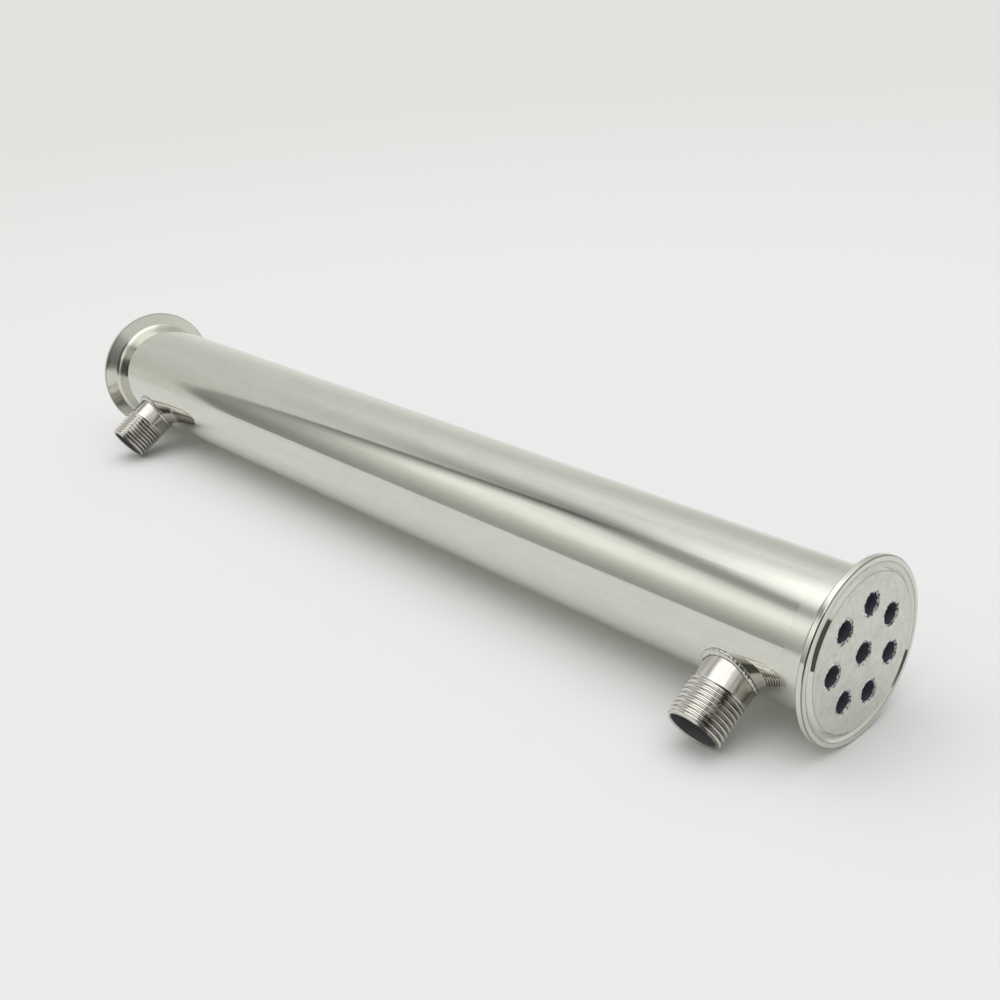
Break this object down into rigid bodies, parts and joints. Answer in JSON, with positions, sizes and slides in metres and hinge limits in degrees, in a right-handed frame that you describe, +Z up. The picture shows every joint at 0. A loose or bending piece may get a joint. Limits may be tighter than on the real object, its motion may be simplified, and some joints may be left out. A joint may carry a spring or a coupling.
{
  "type": "reflux condenser",
  "caption": "Shell-and-tube reflux condenser: a steel jacket round straight vapour tubes, with a hygienic clamp ferrule at each end and threaded water ports on one side.",
  "frame": {"origin": "centre of the near ferrule's sealing face, on the condenser's axis", "axes": "+X along the condenser's axis, out of the near sealing face; +Z up with the condenser lying on its ferrule rims and port tips; the ports point to -Y and down"},
  "size_m": [0.4572, 0.0778, 0.064],
  "materials": {
    "jacket_steel": "stainless tube, satin polished along its length",
    "ferrule_steel": "turned stainless steel, bright polished rim and neck, fine matt face",
    "port_steel": "machined stainless steel with cut pipe threads",
    "tube_steel": "drawn stainless tube, dull inside",
    "weld_metal": "rippled stainless weld metal, brushed clean"
  },
  "bodies": {
    "root": {"shell": "jacket_steel", "near_ferrule": "ferrule_steel", "near_port": "port_steel", "near_port_weld": "weld_metal", "far_ferrule": "ferrule_steel", "far_port": "port_steel", "far_port_weld": "weld_metal", "tube_1": "tube_steel", "near_tube_weld_1": "weld_metal", "far_tube_weld_1": "weld_metal", "tube_2": "tube_steel", "near_tube_weld_2": "weld_metal", "far_tube_weld_2": "weld_metal", "tube_3": "tube_steel", "near_tube_weld_3": "weld_metal", "far_tube_weld_3": "weld_metal", "tube_4": "tube_steel", "near_tube_weld_4": "weld_metal", "far_tube_weld_4": "weld_metal", "tube_5": "tube_steel", "near_tube_weld_5": "weld_metal", "far_tube_weld_5": "weld_metal", "tube_6": "tube_steel", "near_tube_weld_6": "weld_metal", "far_tube_weld_6": "weld_metal", "tube_7": "tube_steel", "near_tube_weld_7": "weld_metal", "far_tube_weld_7": "weld_metal", "tube_8": "tube_steel", "near_tube_weld_8": "weld_metal", "far_tube_weld_8": "weld_metal"}
  },
  "joints": []
}
